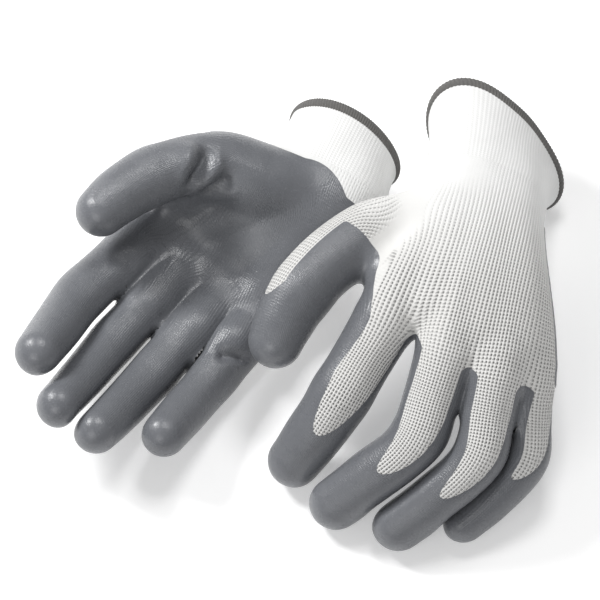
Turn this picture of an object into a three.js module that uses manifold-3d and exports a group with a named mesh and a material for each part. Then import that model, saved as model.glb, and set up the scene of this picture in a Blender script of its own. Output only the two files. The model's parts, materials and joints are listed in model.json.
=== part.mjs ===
// A pair of knitted work gloves with palms and fingers dipped in nitrile rubber.
// The right glove lies palm up and the left glove lies palm down, its thumb over the
// heel of the right one. Each glove is a thin hollow shell: a white knitted liner that a
// hand goes into, an elastic wrist cuff, a grey overlocked hem round the cuff's edge, and
// a grey rubber film outside the liner on the palm, the finger sides and the fingertips.
// Every finger bends at its root and at its middle, where one tube's round end turns
// inside the next tube. Millimetres, +Z up, the table at z = 0, the origin under the
// middle of the pair.
import * as THREE from "three";
import { mergeVertices } from "three/addons/utils/BufferGeometryUtils.js";
import Module from "manifold-3d";

const wasm = await Module();
wasm.setup();

// Driving dimensions
const LINER_WALL = 1.0; // knitted liner
const FILM_WALL = 0.8; // rubber film
const GAP = 0.3; // between two layers
const BALL_GAP = 0.7; // between a tube and the round end that turns in it
const CUFF_WALL = 1.3;
const HEM_HEIGHT = 3.4; // along the cuff
const HEM_PROUD = 0.7; // how far the overlocking stands out of the cuff, on each side
const SIDES = 10; // of a finger tube and of a limb of the hand
const CUFF_SIDES = 24;
const BALL_BEHIND_DEG = 48; // how far a tube's round end reaches back past its hinge
const CLEAR_DEG = 3; // spare angle past each end of a hinge's travel
const MIDDLE_PER_ROOT = 1.2; // the middle hinge turns this much per turn of the root hinge
const FILM_START = 1.0; // the film of a turning tube starts this far past its hinge
const RIM_BACK = 0.5; // and the tube that it turns in ends this far before the hinge
const FLARE = 3; // a turning tube is at its full width this far past its hinge

// Outer radius of the coated glove along each finger: at the knuckle, the root hinge, the
// middle hinge, the last bend and the tip.
const GIRTH = {
  thumb: [16.0, 12.8, 12.2, 11.5, 10.4],
  index: [13.0, 10.6, 10.3, 9.7, 8.8],
  middle: [13.2, 10.8, 10.5, 9.8, 8.9],
  ring: [13.0, 10.5, 10.1, 9.4, 8.5],
  little: [12.4, 9.6, 9.2, 8.5, 7.8],
};
const ROOT_SHARE = 0.55; // the root hinge is this far from the knuckle to the middle hinge
// How far each finger's bone starts from the middle of the wrist, towards the thumb.
const WRIST_OFFSET = { thumb: 9, index: 13, middle: 4.5, ring: -4.5, little: -13 };
const WRIST_RADIUS = { thumb: 16, index: 18, middle: 18.5, ring: 18, little: 17 };
const LIMB_WIDTH = 1.3; // a limb of the hand is this much wider than it is thick
const WRIST_HALF = [30, 19.5]; // half width and half thickness of the cuff there

// The two poses. A finger is its knuckle, middle joint, last bend and end; a thumb has its
// root hinge too. Hinge travels are in degrees from this pose, positive to curl more. The
// cuff's open end runs through its middle plus or minus hemSide, plus hemUp, less hemDown.
const GLOVES = {
  right: {
    wrist: [10, 43, 27], // middle of the wrist
    hem: [19.3, 64, 23], // middle of the cuff's open end
    hemSide: [24.3, -12.1, 0],
    hemUp: [0, 7.7, 24],
    hemDown: [0, 6, 22.8],
    dorsal: [0, 0, -1], // which way the back of the hand faces, roughly
    curlsAlongRow: true,
    travel: [-12, 20],
    thumbTravel: [-20, 12],
    fingers: {
      thumb: [[0, 39, 35], [-35, 46, 50], [-66, 35, 58], [-83, 23, 60], [-97, 8, 57]],
      index: [[-67, 22, 21.5], [-97, -10.5, 26.5], [-109, -31.5, 39.5], [-120, -55.5, 51.5]],
      middle: [[-52, 9.5, 15.5], [-82, -27.5, 18.5], [-97, -52.5, 29.5], [-111, -77.5, 43.5]],
      ring: [[-39, -8.5, 11.4], [-64, -41.5, 15.5], [-80, -63.5, 25.5], [-96, -87.5, 37.5]],
      little: [[-21.5, -18, 10.8], [-39, -42.5, 12], [-51.5, -60.5, 19], [-65.5, -86, 29]],
    },
  },
  left: {
    wrist: [83, 32, 38],
    hem: [88.2, 57.7, 22],
    hemSide: [30.2, -12.1, 0],
    hemUp: [-7.9, 27.3, 24],
    hemDown: [-2, 12, 21.8],
    dorsal: [0, 0, 1],
    curlsAlongRow: false,
    travel: [-32, 0],
    thumbTravel: [-22, 4],
    fingers: {
      thumb: [[66, 21, 44], [28, 6, 55], [-1, -20, 56.5], [-11, -37, 52], [-16, -53, 42]],
      index: [[40, -34, 54], [22, -66, 38], [6.5, -78, 20.5], [-9, -90, 2.8]],
      middle: [[66, -48, 55], [54, -85, 36], [32, -98, 18], [7, -109, 4.1]],
      ring: [[87, -58, 51], [80, -90, 36], [61, -105.5, 20.5], [33.5, -120, 3.9]],
      little: [[102, -60, 43], [99.5, -88, 27], [87, -102.5, 13], [64, -117.5, 4.7]],
    },
  },
};

const MATERIALS = {
  liner: new THREE.MeshStandardMaterial({ color: 0xe9e9e6, roughness: 0.9, metalness: 0 }),
  film: new THREE.MeshStandardMaterial({ color: 0x75777c, roughness: 0.42, metalness: 0 }),
  cuff: new THREE.MeshStandardMaterial({ color: 0xf1f1ee, roughness: 0.92, metalness: 0 }),
  hem: new THREE.MeshStandardMaterial({ color: 0x55534f, roughness: 0.85, metalness: 0 }),
};

const vector = (p) => new THREE.Vector3(...p);
const radians = THREE.MathUtils.degToRad;

// A closed geometry as a solid that can be joined and cut.
function solidOf(geometry) {
  const bare = geometry.index ? geometry.toNonIndexed() : geometry;
  const position = new THREE.BufferGeometry().setAttribute("position", bare.getAttribute("position"));
  const merged = mergeVertices(position, 1e-4);
  return new wasm.Manifold(
    new wasm.Mesh({
      numProp: 3,
      vertProperties: merged.attributes.position.array,
      triVerts: new Uint32Array(merged.index.array),
    }),
  );
}

function meshOf(name, solid, material) {
  const made = solid.subtract(table).getMesh();
  const geometry = new THREE.BufferGeometry()
    .setAttribute("position", new THREE.BufferAttribute(made.vertProperties, 3))
    .setIndex(new THREE.BufferAttribute(made.triVerts, 1));
  geometry.computeVertexNormals();
  const mesh = new THREE.Mesh(geometry, material);
  mesh.name = name;
  return mesh;
}

const joined = (solids) => solids.reduce((all, one) => all.add(one));

// The main body of what a cut leaves.
const largest = (solid) => solid.decompose().sort((a, b) => b.volume() - a.volume())[0];

// Turns +Y onto a direction, with +X as near as it can be to another.
function placement(from, direction, sideways) {
  const y = direction.clone().normalize();
  const z = new THREE.Vector3().crossVectors(sideways, y).normalize();
  const x = new THREE.Vector3().crossVectors(y, z);
  return new THREE.Matrix4().makeBasis(x, y, z).setPosition(from);
}

// A round rod whose stations are [distance along a path, radius], turned on a lathe as a
// straight one and then bent to the path. A ring at a corner of the path lies in its mitre.
// Width widens a ring sideways.
function bentRod(path, stations, sideways, width = () => 1) {
  const profile = stations.map(([distance, radius]) => new THREE.Vector2(radius, distance));
  const geometry = new THREE.LatheGeometry(profile, SIDES);
  const starts = [0];
  for (let i = 1; i < path.length; i++)
    starts.push(starts[i - 1] + path[i].distanceTo(path[i - 1]));
  const ways = path.slice(1).map((p, i) => new THREE.Vector3().subVectors(p, path[i]).normalize());
  const position = geometry.getAttribute("position");
  for (let i = 0; i < position.count; i++) {
    const [y, z] = [position.getY(i), position.getZ(i)];
    const x = position.getX(i) * width(y);
    let k = 0;
    while (k + 1 < ways.length && y > starts[k + 1] + 1e-3) k++;
    const placed = new THREE.Vector3(x, y - starts[k], z)
      .applyMatrix4(placement(path[k], ways[k], sideways));
    if (k + 1 < ways.length && Math.abs(y - starts[k + 1]) < 1e-3) {
      const mitre = ways[k].clone().add(ways[k + 1]).normalize();
      const off = placed.clone().sub(path[k + 1]);
      placed.addScaledVector(ways[k], -off.dot(mitre) / ways[k].dot(mitre));
    }
    position.setXYZ(i, placed.x, placed.y, placed.z);
  }
  return solidOf(geometry);
}

// Stations of a ball at the start of a rod, back to the angle where it is cut off flat.
const ballStart = (radius) =>
  [[-Math.sin(radians(BALL_BEHIND_DEG)) * radius, 0]].concat([1, 0].map((share) => {
    const angle = radians(BALL_BEHIND_DEG * share);
    return [-Math.sin(angle) * radius, Math.cos(angle) * radius];
  }));

// Stations of a ball at the end of a rod.
const ballEnd = (distance, radius) =>
  [0, 30, 60, 90].map((degrees) => {
    const across = degrees < 90 ? radius * Math.cos(radians(degrees)) : 0;
    return [distance + radius * Math.sin(radians(degrees)), across];
  });

// A block whose near face is centred on a point, reaching away along a direction.
function block(from, direction, sideways, width, height, length) {
  const geometry = new THREE.BoxGeometry(width, length, height).translate(0, length / 2, 0);
  return solidOf(geometry.applyMatrix4(placement(from, direction, sideways)));
}

// Below the table: what rests on it is pressed flat.
const table = block(vector([0, 0, 0]), vector([0, 0, -1]), vector([1, 0, 0]), 600, 600, 50);

// One finger's points, radii and directions, worked out from the pose. A thumb's hinges
// lie square to its curl. A finger's root hinge lies along the row of knuckles, so that it
// lifts out of the row past its neighbours, and its middle hinge is square to its curl or,
// where fingers would curl into each other, along the row too.
function fingerOf(name, glove, row) {
  const points = glove.fingers[name].map(vector);
  if (points.length === 4)
    points.splice(1, 0, points[0].clone().lerp(points[1], ROOT_SHARE));
  const [knuckle, root, middle, bend, end] = points;
  const along = new THREE.Vector3().subVectors(middle, root).normalize();
  const beyond = new THREE.Vector3().subVectors(bend, middle).normalize();
  const axis = new THREE.Vector3().crossVectors(along, beyond).normalize();
  const rowAxis = (way) => {
    const square = row.clone().projectOnPlane(way).normalize();
    return square.dot(axis) < 0 ? square.negate() : square;
  };
  const rootAxis = name === "thumb" ? axis.clone() : rowAxis(along);
  const middleAxis = name === "thumb" || !glove.curlsAlongRow ? axis.clone() : rowAxis(beyond);
  const radius = GIRTH[name].map((r) => r - FILM_WALL - GAP); // of the liner's outside
  return {
    name, knuckle, root, middle, bend, end, along, beyond, axis, rootAxis, middleAxis,
    radius,
    travel: name === "thumb" ? glove.thumbTravel : glove.travel,
  };
}

// What a tube turning about a hinge needs free in front of the tube that holds it: all
// that any of its poses has beyond the hinge.
function sweep(hinge, direction, axis, travel, width) {
  const ends = [travel[0] - CLEAR_DEG, travel[1] + CLEAR_DEG];
  return joined(ends.map((degrees) => {
    const turned = direction.clone().applyAxisAngle(axis, radians(degrees));
    const start = hinge.clone().addScaledVector(turned, -RIM_BACK);
    return block(start, turned, axis, width, 120, 60);
  }));
}

// The outside of the finger from its root to its middle, grown by an amount.
function baseShape(f, grow) {
  const length = f.root.distanceTo(f.middle);
  const ball = f.radius[1] - LINER_WALL - BALL_GAP;
  const stations = [
    ...ballStart(ball + grow),
    [FILM_START, ball + grow],
    [FLARE, f.radius[1] + grow],
    ...ballEnd(length, f.radius[2] + grow),
  ];
  return bentRod([f.root, f.middle], stations, f.axis);
}

// The outside of the finger from its middle to its end, grown by an amount.
function tipShape(f, grow) {
  const atBend = f.middle.distanceTo(f.bend);
  const centre = atBend + f.bend.distanceTo(f.end) - GIRTH[f.name][4];
  const ball = f.radius[2] - LINER_WALL - BALL_GAP;
  const stations = [
    ...ballStart(ball + grow),
    [FILM_START, ball + grow],
    [FLARE, f.radius[2] + grow],
    [atBend, f.radius[3] + grow],
    ...ballEnd(centre, f.radius[4] + grow),
  ];
  return bentRod([f.middle, f.bend, f.end], stations, f.axis);
}

// The shell between a shape grown by one amount and grown by a wall more, less the cuts.
function layerOf(shape, start, wall, cuts) {
  const shell = shape(start + wall).subtract(shape(start));
  return largest(cuts.reduce((left, cut) => left.subtract(cut), shell));
}

function fingerMeshes(side, f) {
  const name = side + "_" + f.name;
  const turn = f.travel.map((degrees) => degrees * MIDDLE_PER_ROOT);
  const cutMiddle = sweep(f.middle, f.beyond, f.middleAxis, turn, 60);
  const behind = (hinge, way, distance) =>
    block(hinge.clone().addScaledVector(way, distance), way.clone().negate(), f.axis, 60, 60, 40);
  const reach = Math.sin(radians(BALL_BEHIND_DEG));
  const open = (hinge, way, radius) => behind(hinge, way, 0.3 - reach * (radius - LINER_WALL));
  const baseBall = f.radius[1] - LINER_WALL - BALL_GAP;
  const tipBall = f.radius[2] - LINER_WALL - BALL_GAP;

  // The film leaves the back of the finger bare, up to the last bend.
  const backOf = (way) => new THREE.Vector3().crossVectors(way, f.axis).normalize();
  const [baseBack, tipBack] = [backOf(f.along), backOf(f.beyond)];
  const bareBase = block(
    f.root.clone().addScaledVector(baseBack, 0.35 * f.radius[1]), baseBack, f.axis, 60, 120, 30);
  const atBend = f.middle.distanceTo(f.bend);
  const bareTip = block(
    f.middle.clone().addScaledVector(tipBack, 0.55 * f.radius[2]), tipBack, f.axis, 60, 1.7 * atBend, 30);

  const layers = {
    base_liner: layerOf((grow) => baseShape(f, grow), -LINER_WALL, LINER_WALL, [
      open(f.root, f.along, baseBall), cutMiddle,
    ]),
    base_coating: layerOf((grow) => baseShape(f, grow), GAP, FILM_WALL, [
      behind(f.root, f.along, FILM_START), cutMiddle, bareBase,
    ]),
    tip_liner: layerOf((grow) => tipShape(f, grow), -LINER_WALL, LINER_WALL, [
      open(f.middle, f.beyond, tipBall),
    ]),
    tip_coating: layerOf((grow) => tipShape(f, grow), GAP, FILM_WALL, [
      behind(f.middle, f.beyond, FILM_START), bareTip,
    ]),
  };
  return Object.entries(layers).map(([part, solid]) =>
    meshOf(name + "_" + part, solid, part.endsWith("liner") ? MATERIALS.liner : MATERIALS.film));
}

// The outside of the hand from the wrist to the finger roots, grown by an amount.
function handShape(wrist, towardsThumb, fingers, grow) {
  return joined(fingers.map((f) => {
    const start = wrist.clone().addScaledVector(towardsThumb, WRIST_OFFSET[f.name]);
    const toKnuckle = start.distanceTo(f.knuckle);
    const toRoot = toKnuckle + f.knuckle.distanceTo(f.root);
    const atWrist = WRIST_RADIUS[f.name] - FILM_WALL - GAP + grow;
    const stations = [
      [-10, 0],
      [-10, atWrist],
      [0, atWrist],
      [toKnuckle, f.radius[0] + grow],
      ...ballEnd(toRoot, f.radius[1] + grow),
    ];
    const width = (distance) =>
      THREE.MathUtils.mapLinear(
        THREE.MathUtils.clamp(distance, toKnuckle, toRoot - 1), toKnuckle, toRoot - 1, LIMB_WIDTH, 1);
    return bentRod([start, f.knuckle, f.root], stations, f.axis, width);
  }));
}

// A sleeve through rings, each with its middle and its reach sideways, up and down, made
// from a straight lathed one whose rings are moved to where they belong.
function sleeve(rings, inset) {
  const profile = rings.map((ring, k) => new THREE.Vector2(1, k));
  profile.unshift(new THREE.Vector2(0, 0));
  profile.push(new THREE.Vector2(0, rings.length - 1));
  const geometry = new THREE.LatheGeometry(profile, CUFF_SIDES);
  const position = geometry.getAttribute("position");
  const less = (reach) => reach.clone().setLength(reach.length() - inset);
  for (let i = 0; i < position.count; i++) {
    const ring = rings[Math.round(position.getY(i))];
    const [across, up] = [position.getX(i), position.getZ(i)];
    const placed = ring.middle.clone()
      .addScaledVector(less(ring.side), across)
      .addScaledVector(less(up > 0 ? ring.up : ring.down), up);
    position.setXYZ(i, placed.x, placed.y, placed.z);
  }
  return solidOf(geometry);
}

function cuffMeshes(side, glove, wrist) {
  const hem = {
    middle: vector(glove.hem), side: vector(glove.hemSide),
    up: vector(glove.hemUp), down: vector(glove.hemDown),
  };
  const along = new THREE.Vector3().subVectors(hem.middle, wrist).normalize();
  const wide = hem.side.clone().addScaledVector(along, -hem.side.dot(along)).normalize();
  const high = new THREE.Vector3().crossVectors(wide, along).normalize().multiplyScalar(WRIST_HALF[1]);
  const start = {
    middle: wrist.clone().addScaledVector(along, GAP),
    side: wide.multiplyScalar(WRIST_HALF[0]), up: high, down: high,
  };
  const between = (share) => Object.fromEntries(
    Object.keys(hem).map((key) => [key, start[key].clone().lerp(hem[key], share)]));
  const moved = (ring, distance) =>
    ({ ...ring, middle: ring.middle.clone().addScaledVector(along, distance) });
  const hollow = (rings, outset, wall) => {
    const inside = [moved(rings[0], -2), ...rings.slice(1, -1), moved(rings[rings.length - 1], 2)];
    return sleeve(rings, -outset).subtract(sleeve(inside, wall - outset));
  };
  const cuff = hollow([0, 0.5, 1].map(between), 0, CUFF_WALL);
  const edge = [moved(hem, GAP), moved(hem, GAP + HEM_HEIGHT)];
  const binding = hollow(edge, HEM_PROUD, CUFF_WALL + 2 * HEM_PROUD);
  return [
    meshOf(side + "_cuff", cuff, MATERIALS.cuff),
    meshOf(side + "_cuff_hem", binding, MATERIALS.hem),
  ];
}

function gloveMeshes(side, glove) {
  const wrist = vector(glove.wrist);
  const hem = vector(glove.hem);
  const towardsThumb = new THREE.Vector3()
    .subVectors(vector(glove.fingers.index[0]), vector(glove.fingers.little[0])).normalize();
  const fingers = Object.keys(glove.fingers).map((name) => fingerOf(name, glove, towardsThumb));
  const find = (name) => fingers.find((f) => f.name === name);
  const outwards = new THREE.Vector3().subVectors(hem, wrist).normalize();

  const pastWrist = block(wrist, outwards, towardsThumb, 120, 120, 60);
  const sweeps = fingers.map((f) => {
    const widest = Math.max(f.radius[1], f.radius[2]) + GAP + FILM_WALL + 0.5;
    return sweep(f.root, f.along, f.rootAxis, f.travel, 2 * widest);
  });
  const shape = (grow) => handShape(wrist, towardsThumb, fingers, grow);
  const liner = layerOf(shape, -LINER_WALL, LINER_WALL, [pastWrist, ...sweeps]);

  // The film covers the palm side of the hand, up to a little before the wrist.
  const palmAxis = new THREE.Vector3().subVectors(find("middle").knuckle, wrist).normalize();
  const across = towardsThumb.clone();
  let back = new THREE.Vector3().crossVectors(palmAxis, across).normalize();
  if (back.dot(vector(glove.dorsal)) < 0) back = back.negate();
  const centre = wrist.clone().lerp(find("middle").knuckle, 0.5).addScaledVector(back, 2);
  const backHalf = block(centre, back, across, 260, 260, 60);
  const filmEnd = wrist.clone().addScaledVector(outwards, -7);
  const pastFilm = block(filmEnd, outwards, towardsThumb, 140, 140, 60);
  const film = layerOf(shape, GAP, FILM_WALL, [pastFilm, backHalf, ...sweeps]);

  return {
    meshes: [
      meshOf(side + "_hand_liner", liner, MATERIALS.liner),
      meshOf(side + "_palm_coating", film, MATERIALS.film),
      ...cuffMeshes(side, glove, wrist),
      ...fingers.flatMap((f) => fingerMeshes(side, f)),
    ],
    joints: fingers.flatMap((f) => [
      { name: side + "_" + f.name + "_root", at: f.root, axis: f.rootAxis, travel: f.travel },
      { name: side + "_" + f.name + "_middle", at: f.middle, axis: f.middleAxis, follows: side + "_" + f.name + "_root" },
    ]),
  };
}

const pair = new THREE.Group();
const joints = [];
for (const [side, glove] of Object.entries(GLOVES)) {
  const group = new THREE.Group();
  const made = gloveMeshes(side, glove);
  group.add(...made.meshes);
  joints.push(...made.joints);
  pair.add(group);
}

// The origin is on the table, under the middle of the pair.
const box = new THREE.Box3().setFromObject(pair);
const middle = box.getCenter(new THREE.Vector3());
const offset = new THREE.Vector3(-middle.x, -middle.y, -box.min.z);
pair.position.copy(offset);
pair.userData.offset = offset.toArray();
pair.userData.middlePerRoot = MIDDLE_PER_ROOT;
pair.userData.joints = joints.map((j) => ({
  ...j, at: j.at.clone().add(offset).toArray(), axis: j.axis.toArray(),
}));

export default pair;
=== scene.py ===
# Looks for a pair of knitted work gloves dipped in grey nitrile. Each glove's surface is
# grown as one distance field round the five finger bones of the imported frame, then cut
# into the pieces that bend. Lengths are in millimetres until a mesh is made.
import json
import math

import bpy
import numpy as np
import openvdb
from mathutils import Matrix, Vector


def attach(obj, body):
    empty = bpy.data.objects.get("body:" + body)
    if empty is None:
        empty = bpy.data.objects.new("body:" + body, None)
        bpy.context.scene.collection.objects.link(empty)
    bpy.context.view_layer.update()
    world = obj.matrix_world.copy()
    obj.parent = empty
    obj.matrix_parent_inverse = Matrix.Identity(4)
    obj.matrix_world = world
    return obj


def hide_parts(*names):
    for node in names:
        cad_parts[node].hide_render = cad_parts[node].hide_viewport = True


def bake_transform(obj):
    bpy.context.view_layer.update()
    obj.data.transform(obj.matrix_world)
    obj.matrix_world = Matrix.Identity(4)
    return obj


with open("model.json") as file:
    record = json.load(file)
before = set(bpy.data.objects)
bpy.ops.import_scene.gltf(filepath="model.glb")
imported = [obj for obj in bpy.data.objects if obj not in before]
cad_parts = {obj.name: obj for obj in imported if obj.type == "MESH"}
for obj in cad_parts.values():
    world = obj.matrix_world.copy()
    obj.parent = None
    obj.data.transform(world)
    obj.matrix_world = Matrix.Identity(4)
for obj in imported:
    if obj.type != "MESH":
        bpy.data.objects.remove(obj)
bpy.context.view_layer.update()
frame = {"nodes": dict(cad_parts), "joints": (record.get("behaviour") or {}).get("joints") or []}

MM = 0.001
FINGERS = ("thumb", "index", "middle", "ring", "little")
SIDES = ("right", "left")

# Radius of the bare knit at the wrist, knuckle, root hinge, middle hinge, last bend and
# tip of each finger.
GIRTH = {
    "right": {
        "thumb": (15.5, 16.0, 14.2, 13.2, 12.2, 10.6),
        "index": (17.0, 13.2, 12.2, 12.0, 11.2, 10.0),
        "middle": (17.5, 13.4, 12.2, 11.7, 10.8, 9.6),
        "ring": (17.0, 13.2, 12.2, 11.7, 10.8, 9.8),
        "little": (16.0, 12.4, 11.4, 11.2, 10.6, 9.6),
    },
    "left": {
        "thumb": (15.5, 16.5, 15.2, 14.0, 12.8, 11.3),
        "index": (17.0, 13.8, 13.2, 13.3, 12.6, 11.5),
        "middle": (17.5, 13.8, 12.8, 12.6, 12.5, 11.5),
        "ring": (17.0, 13.6, 12.4, 12.0, 12.2, 11.4),
        "little": (14.5, 10.8, 10.2, 10.4, 10.6, 9.8),
    },
}
# How far each finger's middle line is moved off the bones of the frame, towards the thumb
# and towards its back: at the knuckle, root hinge, middle hinge, last bend and end.
NUDGES = {
    "right": {"thumb": ((2, -1.5), (2.3, -1.9), (1.8, -1.5), (1, -1), (0, 0))},
    "left": {
        "thumb": ((0, 0), (0, -1.2), (0, -3), (0, -2.6), (0, -1.2)),
        "index": ((1.5, 0), (3, 0), (4.6, 0), (3, 0), (1, 0)),
        "middle": ((0, 0), (0.5, 0), (2, 0), (2, 0), (1, 0)),
    },
}
# The web between thumb and index: lengths along the index and the thumb that it joins.
WEB_ROWS = {"right": ((45, 40), (54, 48), (62, 56)), "left": ((50, 50), (58, 57), (65, 62))}
WEB_RADIUS = 10.5
# Pads and hollows of the palm: a place (finger, length along its bone, sideways, upwards),
# how wide and how high.
PADS = {
    "right": (
        ("middle", 58, -2, -14, 18, -3.5),
        ("index", 72, -4, -12, 12, -2.0),
        ("thumb", 32, -6, -12, 15, 3.5),
        ("little", 85, 2, -11, 10, 3.6),
        ("ring", 90, -3, -12, 10, 2.6),
        ("thumb", 66, -12, 3, 7, 2.0),
    ),
    "left": (("middle", 45, 0, 14, 26, 1.0),),
}
# Folds: width, depth, height of the lips, then the places that each runs through.
FOLDS = {
    "right": (
        (9.0, 2.6, 0.0, ("thumb", 66, -6, -12), ("index", 57, -1.5, -14), ("middle", 60, 0, -15),
         ("ring", 58, 0, -15), ("little", 57, 2, -15)),
        (3.4, 5.0, 1.0, ("thumb", 57, -12, 7), ("thumb", 60, -13.6, 1), ("thumb", 64, -12.5, -5),
         ("thumb", 68, -9, -10)),
        (3.6, 3.4, 0.6, ("thumb", 44, -12.7, -5.4), ("thumb", 52, -10, -9.5),
         ("thumb", 60, -4, -13)),
        (2.6, 3.2, 0.0, ("little", 99, 4, -11), ("little", 96, 0, -11), ("little", 93, -4, -10),
         ("little", 90, -9, -7)),
        (3.6, 1.1, 0.1, ("index", 97, 4, -11), ("index", 94, -2, -12), ("index", 90, -8, -9)),
        (3.6, 1.1, 0.1, ("middle", 103, 4, -11), ("middle", 100, -9, -8), ("middle", 95, -10, -7)),
    ),
    "left": (),
}
JOINT_SWELL, SWELL_REACH = 0.5, 7  # at the middle hinge
ROOT_SHARE = 0.55  # of the way from the knuckle to the middle hinge
THUMB_KNUCKLE_SHARE = 0.28  # of the way from the wrist to the thumb's root hinge
THUMB_KNUCKLE_SHIFT = (0, -3.0, 0)
BEHIND_WRIST = 12  # each bone starts this far behind the wrist
BEND_SHARE = 0.48  # the last bend, of the way from the middle hinge to the tip
BEND_RISE = 2.2  # the last bend is this far towards the back of a straight line
WEB_AHEAD = {"right": 4.5, "left": 1.5}  # the web ends this far past the root hinges
THUMB_WEB_AHEAD = 11.0
CUT_ROOM = 0.6  # a bend starts and ends this far off a cut
TIP_BEND = 8  # and ends this far past the middle hinge
BETWEEN_FINGERS = {"right": 0.7, "left": -0.7}  # how proud the palm is between two fingers
FILLED_TO = 14  # the palm between two fingers is filled up to this far behind the knuckles
WRIST_OFFSET = {"thumb": 9, "index": 13, "middle": 4.5, "ring": -4.5, "little": -13}
FILM_THICK = 0.55
BARE_REST = 0.2  # the bare knit is pressed flat this far above the floor, the film on it
# The bare tongue on the back of each finger: its middle's turn round the finger towards
# the thumb at its end and how much that changes 30 mm back (degrees), its greatest half
# width, how blunt its end is, and how far its end is past the middle hinge.
TONGUES = {
    "right": {
        "thumb": (36, 0, 11.5, 3.0, 6),
        "index": (-5, -14, 11.0, 2.2, 17),
        "middle": (5, -6, 11.5, 1.9, 21),
        "ring": (3, -8, 11.0, 1.7, 25),
        "little": (-5, -30, 10.5, 1.7, 12),
    },
    "left": {
        "thumb": (10, 0, 9.0, 3.2, 10),
        "index": (0, -14, 11.2, 2.2, 17.5),
        "middle": (17, -7, 11.2, 1.9, 21.5),
        "ring": (5, -8, 10.2, 1.6, 25),
        "little": (2, -45, 10.5, 1.6, 13),
    },
}
COATED_UP_TO = {"right": {"thumb": 17.0}, "left": {"thumb": -5.0}}  # on the hand, above the bone
HEEL, HEEL_BOW, HEEL_MIDDLE = 2.0, 0.028, 3.0  # the coating's edge before the wrist
HEEL_BOW_MOST = {"right": 1.0, "left": 9.0}  # how far it draws back at the thumb's side
COATED_PALM = 3.0  # for the other fingers' bones
HEEL_RISE = 11, (30, 58)  # higher beside the right index, and over which length it ends
INDEX_RISE = 8.0, (58, 78), (3, 8)  # higher at an index's outer side: lengths, sideways
WEB_LENGTH = 6.0  # two fingers part over this length past the cut
FINGER_GAP = 1.4  # between the coatings of two fingers that lie together
SAMPLE = 1.5  # between the balls along a bone
VOXEL = 1.15
FAR = 25.0  # the value of a voxel far from every ball
ROOM = 28  # the voxels reach this far past the bones
MELT_REACH = 16  # distances are right this far from balls that melt together
LIMB_MELT, PART_MELT, PRESSED_MELT = 10, 4, 3  # widths over which two surfaces melt together
WALE = 1.3  # one column of stitches
COURSE = 1.45  # one row of stitches
UNEVEN = (2.5, 6.0)  # the stitches fade out where the fingers' stitches are this far apart
KNIT_BLEND = 3.5  # how gradually the columns turn from one finger to the next
THUMB_LEAVES = 50  # where the thumb's columns leave those of the hand
THUMB_TORN = (32, 48)  # where the thumb's stitches and the hand's no longer meet
FINGER_COLUMNS = 0.84  # how many of the hand's columns run round a finger's same width
COLUMNS, COLUMN_SLOPES = (-40, 0, 20, 36), (-0.16, 0.0, 0.22, 0.95)  # how the columns fan out
RIB_WALE, RIB_COURSE = 1.9, 1.1
CUFF_SIDES, CUFF_ROWS, CUFF_THICK = 240, 40, 1.2
CUFF_INSIDE, CUFF_BEFORE = 1.5, 7.5  # the cuff starts in the hand; its slope is read further in
CUFF_SUNK, CUFF_PROUD = 0.12, 0.08  # it starts a little below the hand's knit and ends above it
CUFF_FLARE = 0.25  # outwards at the rim
RIM_OUT, RIM_ON = 0.7, 1.0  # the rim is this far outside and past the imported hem's middle
HEM_WRAPS, WRAP_STEPS, HEM_SIDES = 118, 6, 16
HEM_THICK, HEM_LONG = 1.4, 2.3  # half its thickness and half its length along the cuff
HEM_IN, HEM_BACK = 0.6, 1.2  # its middle, inwards and back from the cuff's rim
WRAP_SLANT, WRAP_RIDGE, WRAP_STEP = 1.4, 0.2, 0.12
# Lights: name, place (metres), size and power. They point a little above the floor's middle.
LIGHTS = (
    ("key", (-0.78, 0.50, 0.85), 0.3, 12.0),
    ("top", (0.12, 0.45, 1.15), 0.35, 5.4),
    ("fill", (-0.5, -0.85, 0.7), 0.6, 3.0),
)
LIGHT_AIM = Vector((0, 0, 0.03))
SKY, FLOOR_GLOW, FLOOR_TONE = 0.3, 0.3, 0.93
CAMERA_LENS, CAMERA_AWAY, CAMERA_ELEVATION = 500, 3.75, 65
CAMERA_AIM = Vector((0.0028, 0.0168, 0))


def unit(v):
    return v / np.linalg.norm(v, axis=-1, keepdims=True)


def smooth(a, b, x):
    t = np.clip((x - a) / (b - a), 0, 1)
    return t * t * (3 - 2 * t)


def evened(values, width):
    """A running mean over an odd number of values."""
    padded = np.pad(values, width // 2, mode="edge")
    return np.convolve(padded, np.ones(width) / width, mode="valid")


def hermite(t):
    """The weights of a curve's start, start direction, end and end direction."""
    return 2 * t**3 - 3 * t**2 + 1, t**3 - 2 * t**2 + t, -2 * t**3 + 3 * t**2, t**3 - t**2


def node_points(name):
    vertices = frame["nodes"][name].data.vertices
    found = np.zeros(len(vertices) * 3, np.float32)
    vertices.foreach_get("co", found)
    return found.reshape(-1, 3).astype(float) / MM


joint_at = {j["name"]: np.array(j["pos_m"]) / MM for j in frame["joints"] if "pos_m" in j}
joint_axis = {j["name"]: unit(np.array(j["axis"], float)) for j in frame["joints"]}


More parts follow.
